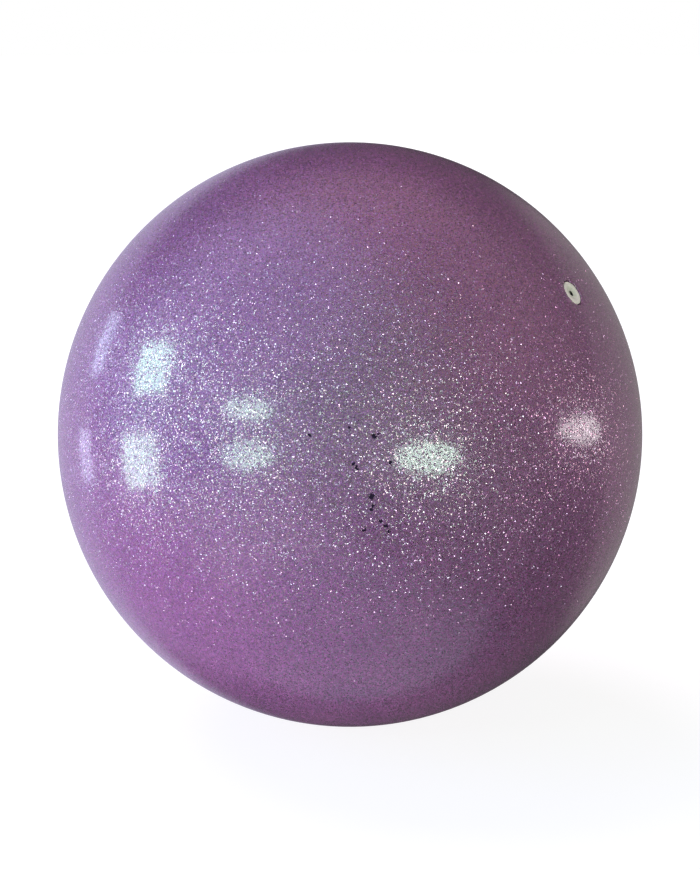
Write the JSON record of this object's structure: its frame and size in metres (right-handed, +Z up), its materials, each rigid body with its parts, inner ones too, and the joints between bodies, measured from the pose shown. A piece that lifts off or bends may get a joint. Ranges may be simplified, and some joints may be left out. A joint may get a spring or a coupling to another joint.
{
  "type": "rhythmic gymnastics ball",
  "caption": "Hollow rubber hand-apparatus ball with a glossy purple glitter finish, an inner bladder and a flush needle valve whose white plug pulls out.",
  "frame": {"origin": "centre of the ball", "axes": "+Z is up as the ball lies in the picture; the valve axis is in the XZ plane, 55 degrees from +Z towards +X"},
  "size_m": [0.1848, 0.185, 0.1848],
  "materials": {
    "glitter_lacquer_rubber": "purple lacquer full of fine holographic glitter under a smooth gloss clear coat",
    "butyl_rubber": "matt black, dusted with talc",
    "seat_rubber": "matt moulded grey",
    "patch_rubber": "matt tan sheet",
    "white_valve_rubber": "satin moulded off-white"
  },
  "bodies": {
    "ball": {"outer_wall": "glitter_lacquer_rubber", "inner_bladder": "butyl_rubber", "valve_seat": "seat_rubber", "valve_patch": "patch_rubber"},
    "valve_plug": {"valve_core": "white_valve_rubber"}
  },
  "joints": [
    {"name": "valve_plug_pull", "type": "slide", "parent": "ball", "child": "valve_plug", "axis": [0.8192, 0, 0.5736], "range_m": [0, 0.018]}
  ]
}
